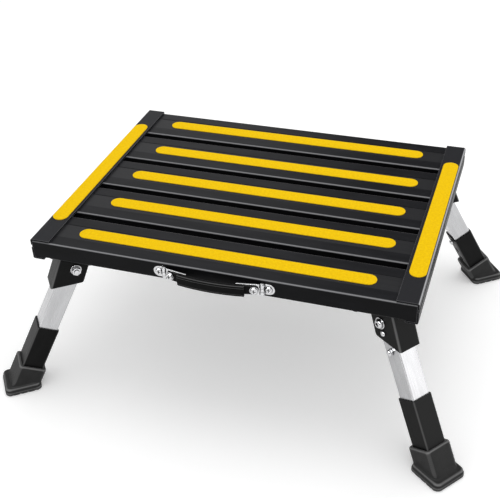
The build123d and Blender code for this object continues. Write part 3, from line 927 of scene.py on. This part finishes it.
grip = swept_band(
    "grip",
    (-strap_half_span, strap_half_span),
    strap_thickness,
    strap_height,
    strap_middle_z,
    strap_edge,
    grooved=True,
    room=leaf_room,
)
new_piece("carrying_strap", smoothed(grip), strap_black, "handle_strap", "strap_rubber", "handle_strap")
for name, side in (("left", -1), ("right", 1)):
    span = [side * end for end in tongue_span]
    tongue = swept_band("tongue", span, tongue_thickness, tongue_height, right_pin.z, tongue_edge)
    tongue = smoothed(drilled(tongue, side))
    new_piece(f"{name}_strap_tongue", tongue, strap_black, f"{name}_handle_leaf", "strap_rubber")
print("strap swept in", len(grip.polygons), "faces, with a tongue at each end")

# %% [markdown]
# Floor and air
# The step stands on a plain white sweep. The floor is white paint that takes the step's shadow, lifted by
# a quarter of white for the rays that show it: the camera's, and those mirrored in metal. The world turns
# pure white for them too, so lamps never have to be turned up to bleach the background.

# %% Floor
floor_half = 15.0
floor_white = 0.96
floor_lift = 0.25


def seen_ray(bench):
    path = bench.add("ShaderNodeLightPath")
    seen = path.outputs["Is Camera Ray"]
    for other in ("Is Glossy Ray", "Is Transmission Ray"):
        seen = bench.math("MAXIMUM", seen, path.outputs[other])
    return seen


def flat_sheet(name, outline, material):
    mesh = bpy.data.meshes.new(name)
    mesh.from_pydata(outline, [], [range(len(outline))])
    mesh.materials.append(material)
    sheet = placed(name, mesh)
    return sheet


paint = bpy.data.materials.new("white_floor_paint")
bench = Bench(paint)
bench.tree.nodes.clear()
matte = bench.add("ShaderNodeBsdfDiffuse")
glow = bench.add("ShaderNodeEmission")
paper = bench.add("ShaderNodeAddShader")
surface = bench.add("ShaderNodeOutputMaterial")
bench.feed(matte.inputs["Color"], grey(floor_white))
bench.feed(glow.inputs["Strength"], bench.math("MULTIPLY", seen_ray(bench), floor_lift))
bench.feed(paper.inputs[0], matte.outputs[0])
bench.feed(paper.inputs[1], glow.outputs[0])
bench.feed(surface.inputs["Surface"], paper.outputs[0])
floor_plan = [(x * floor_half, y * floor_half, 0.0) for x, y in ((-1, -1), (1, -1), (1, 1), (-1, 1))]
flat_sheet("studio_floor", floor_plan, paint)
print(f"floor {2 * floor_half:.0f} m wide")

# %% World
air_light = 0.75
white = 1.0

studio = bpy.data.worlds.new("studio_air")
scene.world = studio
bench = Bench(studio)
bench.tree.nodes.clear()
soft_light = bench.add("ShaderNodeBackground")
white_air = bench.add("ShaderNodeBackground")
for sky, strength in ((soft_light, air_light), (white_air, white)):
    bench.feed(sky.inputs["Color"], grey(white))
    bench.feed(sky.inputs["Strength"], strength)
blend = bench.add("ShaderNodeMixShader")
surface = bench.add("ShaderNodeOutputWorld")
bench.feed(blend.inputs[0], seen_ray(bench))
bench.feed(blend.inputs[1], soft_light.outputs[0])
bench.feed(blend.inputs[2], white_air.outputs[0])
bench.feed(surface.inputs["Surface"], blend.outputs[0])
print(f"air light {air_light}, seen as {white}")

# %% [markdown]
# Lamps and flags
# A wide softbox overhead gives the even light of a product picture and the soft shadow under the
# platform. Polished metal shows what stands round it, and in a white room that is nothing, so black flags
# stand at the left, in front and behind, and a panel glows at the right. They only show in reflections,
# as does the strip above the front, which glints on the rounded edges without lighting anything else.

# %% Lamps
platform_middle = Vector((0.0, 0.0, front_high.z))


def softbox(name, place, size, power, only_glints=False):
    light = bpy.data.lights.new(name, "AREA")
    light.shape = "RECTANGLE"
    light.size, light.size_y = size
    light.energy = power
    aim = platform_middle - Vector(place)
    lamp = placed(name, light)
    lamp.location = place
    lamp.rotation_euler = aim.to_track_quat("-Z", "Y").to_euler()
    lamp.visible_camera = False
    lamp.visible_diffuse = not only_glints
    print(name, f"{power:.1f} W,", f"{aim.length:.2f} m from the platform")


softbox("overhead_softbox", place=(0.1, 0.1, 1.8), size=(1.4, 1.0), power=8.0)
softbox("front_strip", place=(-0.35, -0.89, 1.12), size=(1.6, 0.4), power=20.0, only_glints=True)
softbox("right_panel", place=(1.4, -0.1, 0.35), size=(0.9, 0.6), power=1.7, only_glints=True)

# %% Flags
velvet_black = grey(0.01)


def black_flag(name, start, stop, low, high):
    velvet = Finish(name)
    velvet.set(Base_Color=velvet_black, Specular_IOR_Level=0.0)
    outline = [(*start, low), (*stop, low), (*stop, high), (*start, high)]
    flag = flat_sheet(name, outline, velvet.material)
    for ray in ("camera", "diffuse", "transmission", "volume_scatter", "shadow"):
        setattr(flag, f"visible_{ray}", False)
    print(name, f"{high - low:.2f} m high")


black_flag("left_flag", start=(-1.6, -1.4), stop=(-1.6, 1.4), low=0.02, high=0.6)
black_flag("front_flag", start=(-1.4, -1.7), stop=(1.0, -1.7), low=0.02, high=0.6)
black_flag("back_flag", start=(-0.5, 2.2), stop=(2.6, 1.8), low=0.6, high=2.6)

# %% [markdown]
# Finish
# The dressed step has to stay as big as its solids. Last, the view transform is set to Standard.

# %% Finish
scene.view_settings.view_transform = "Standard"
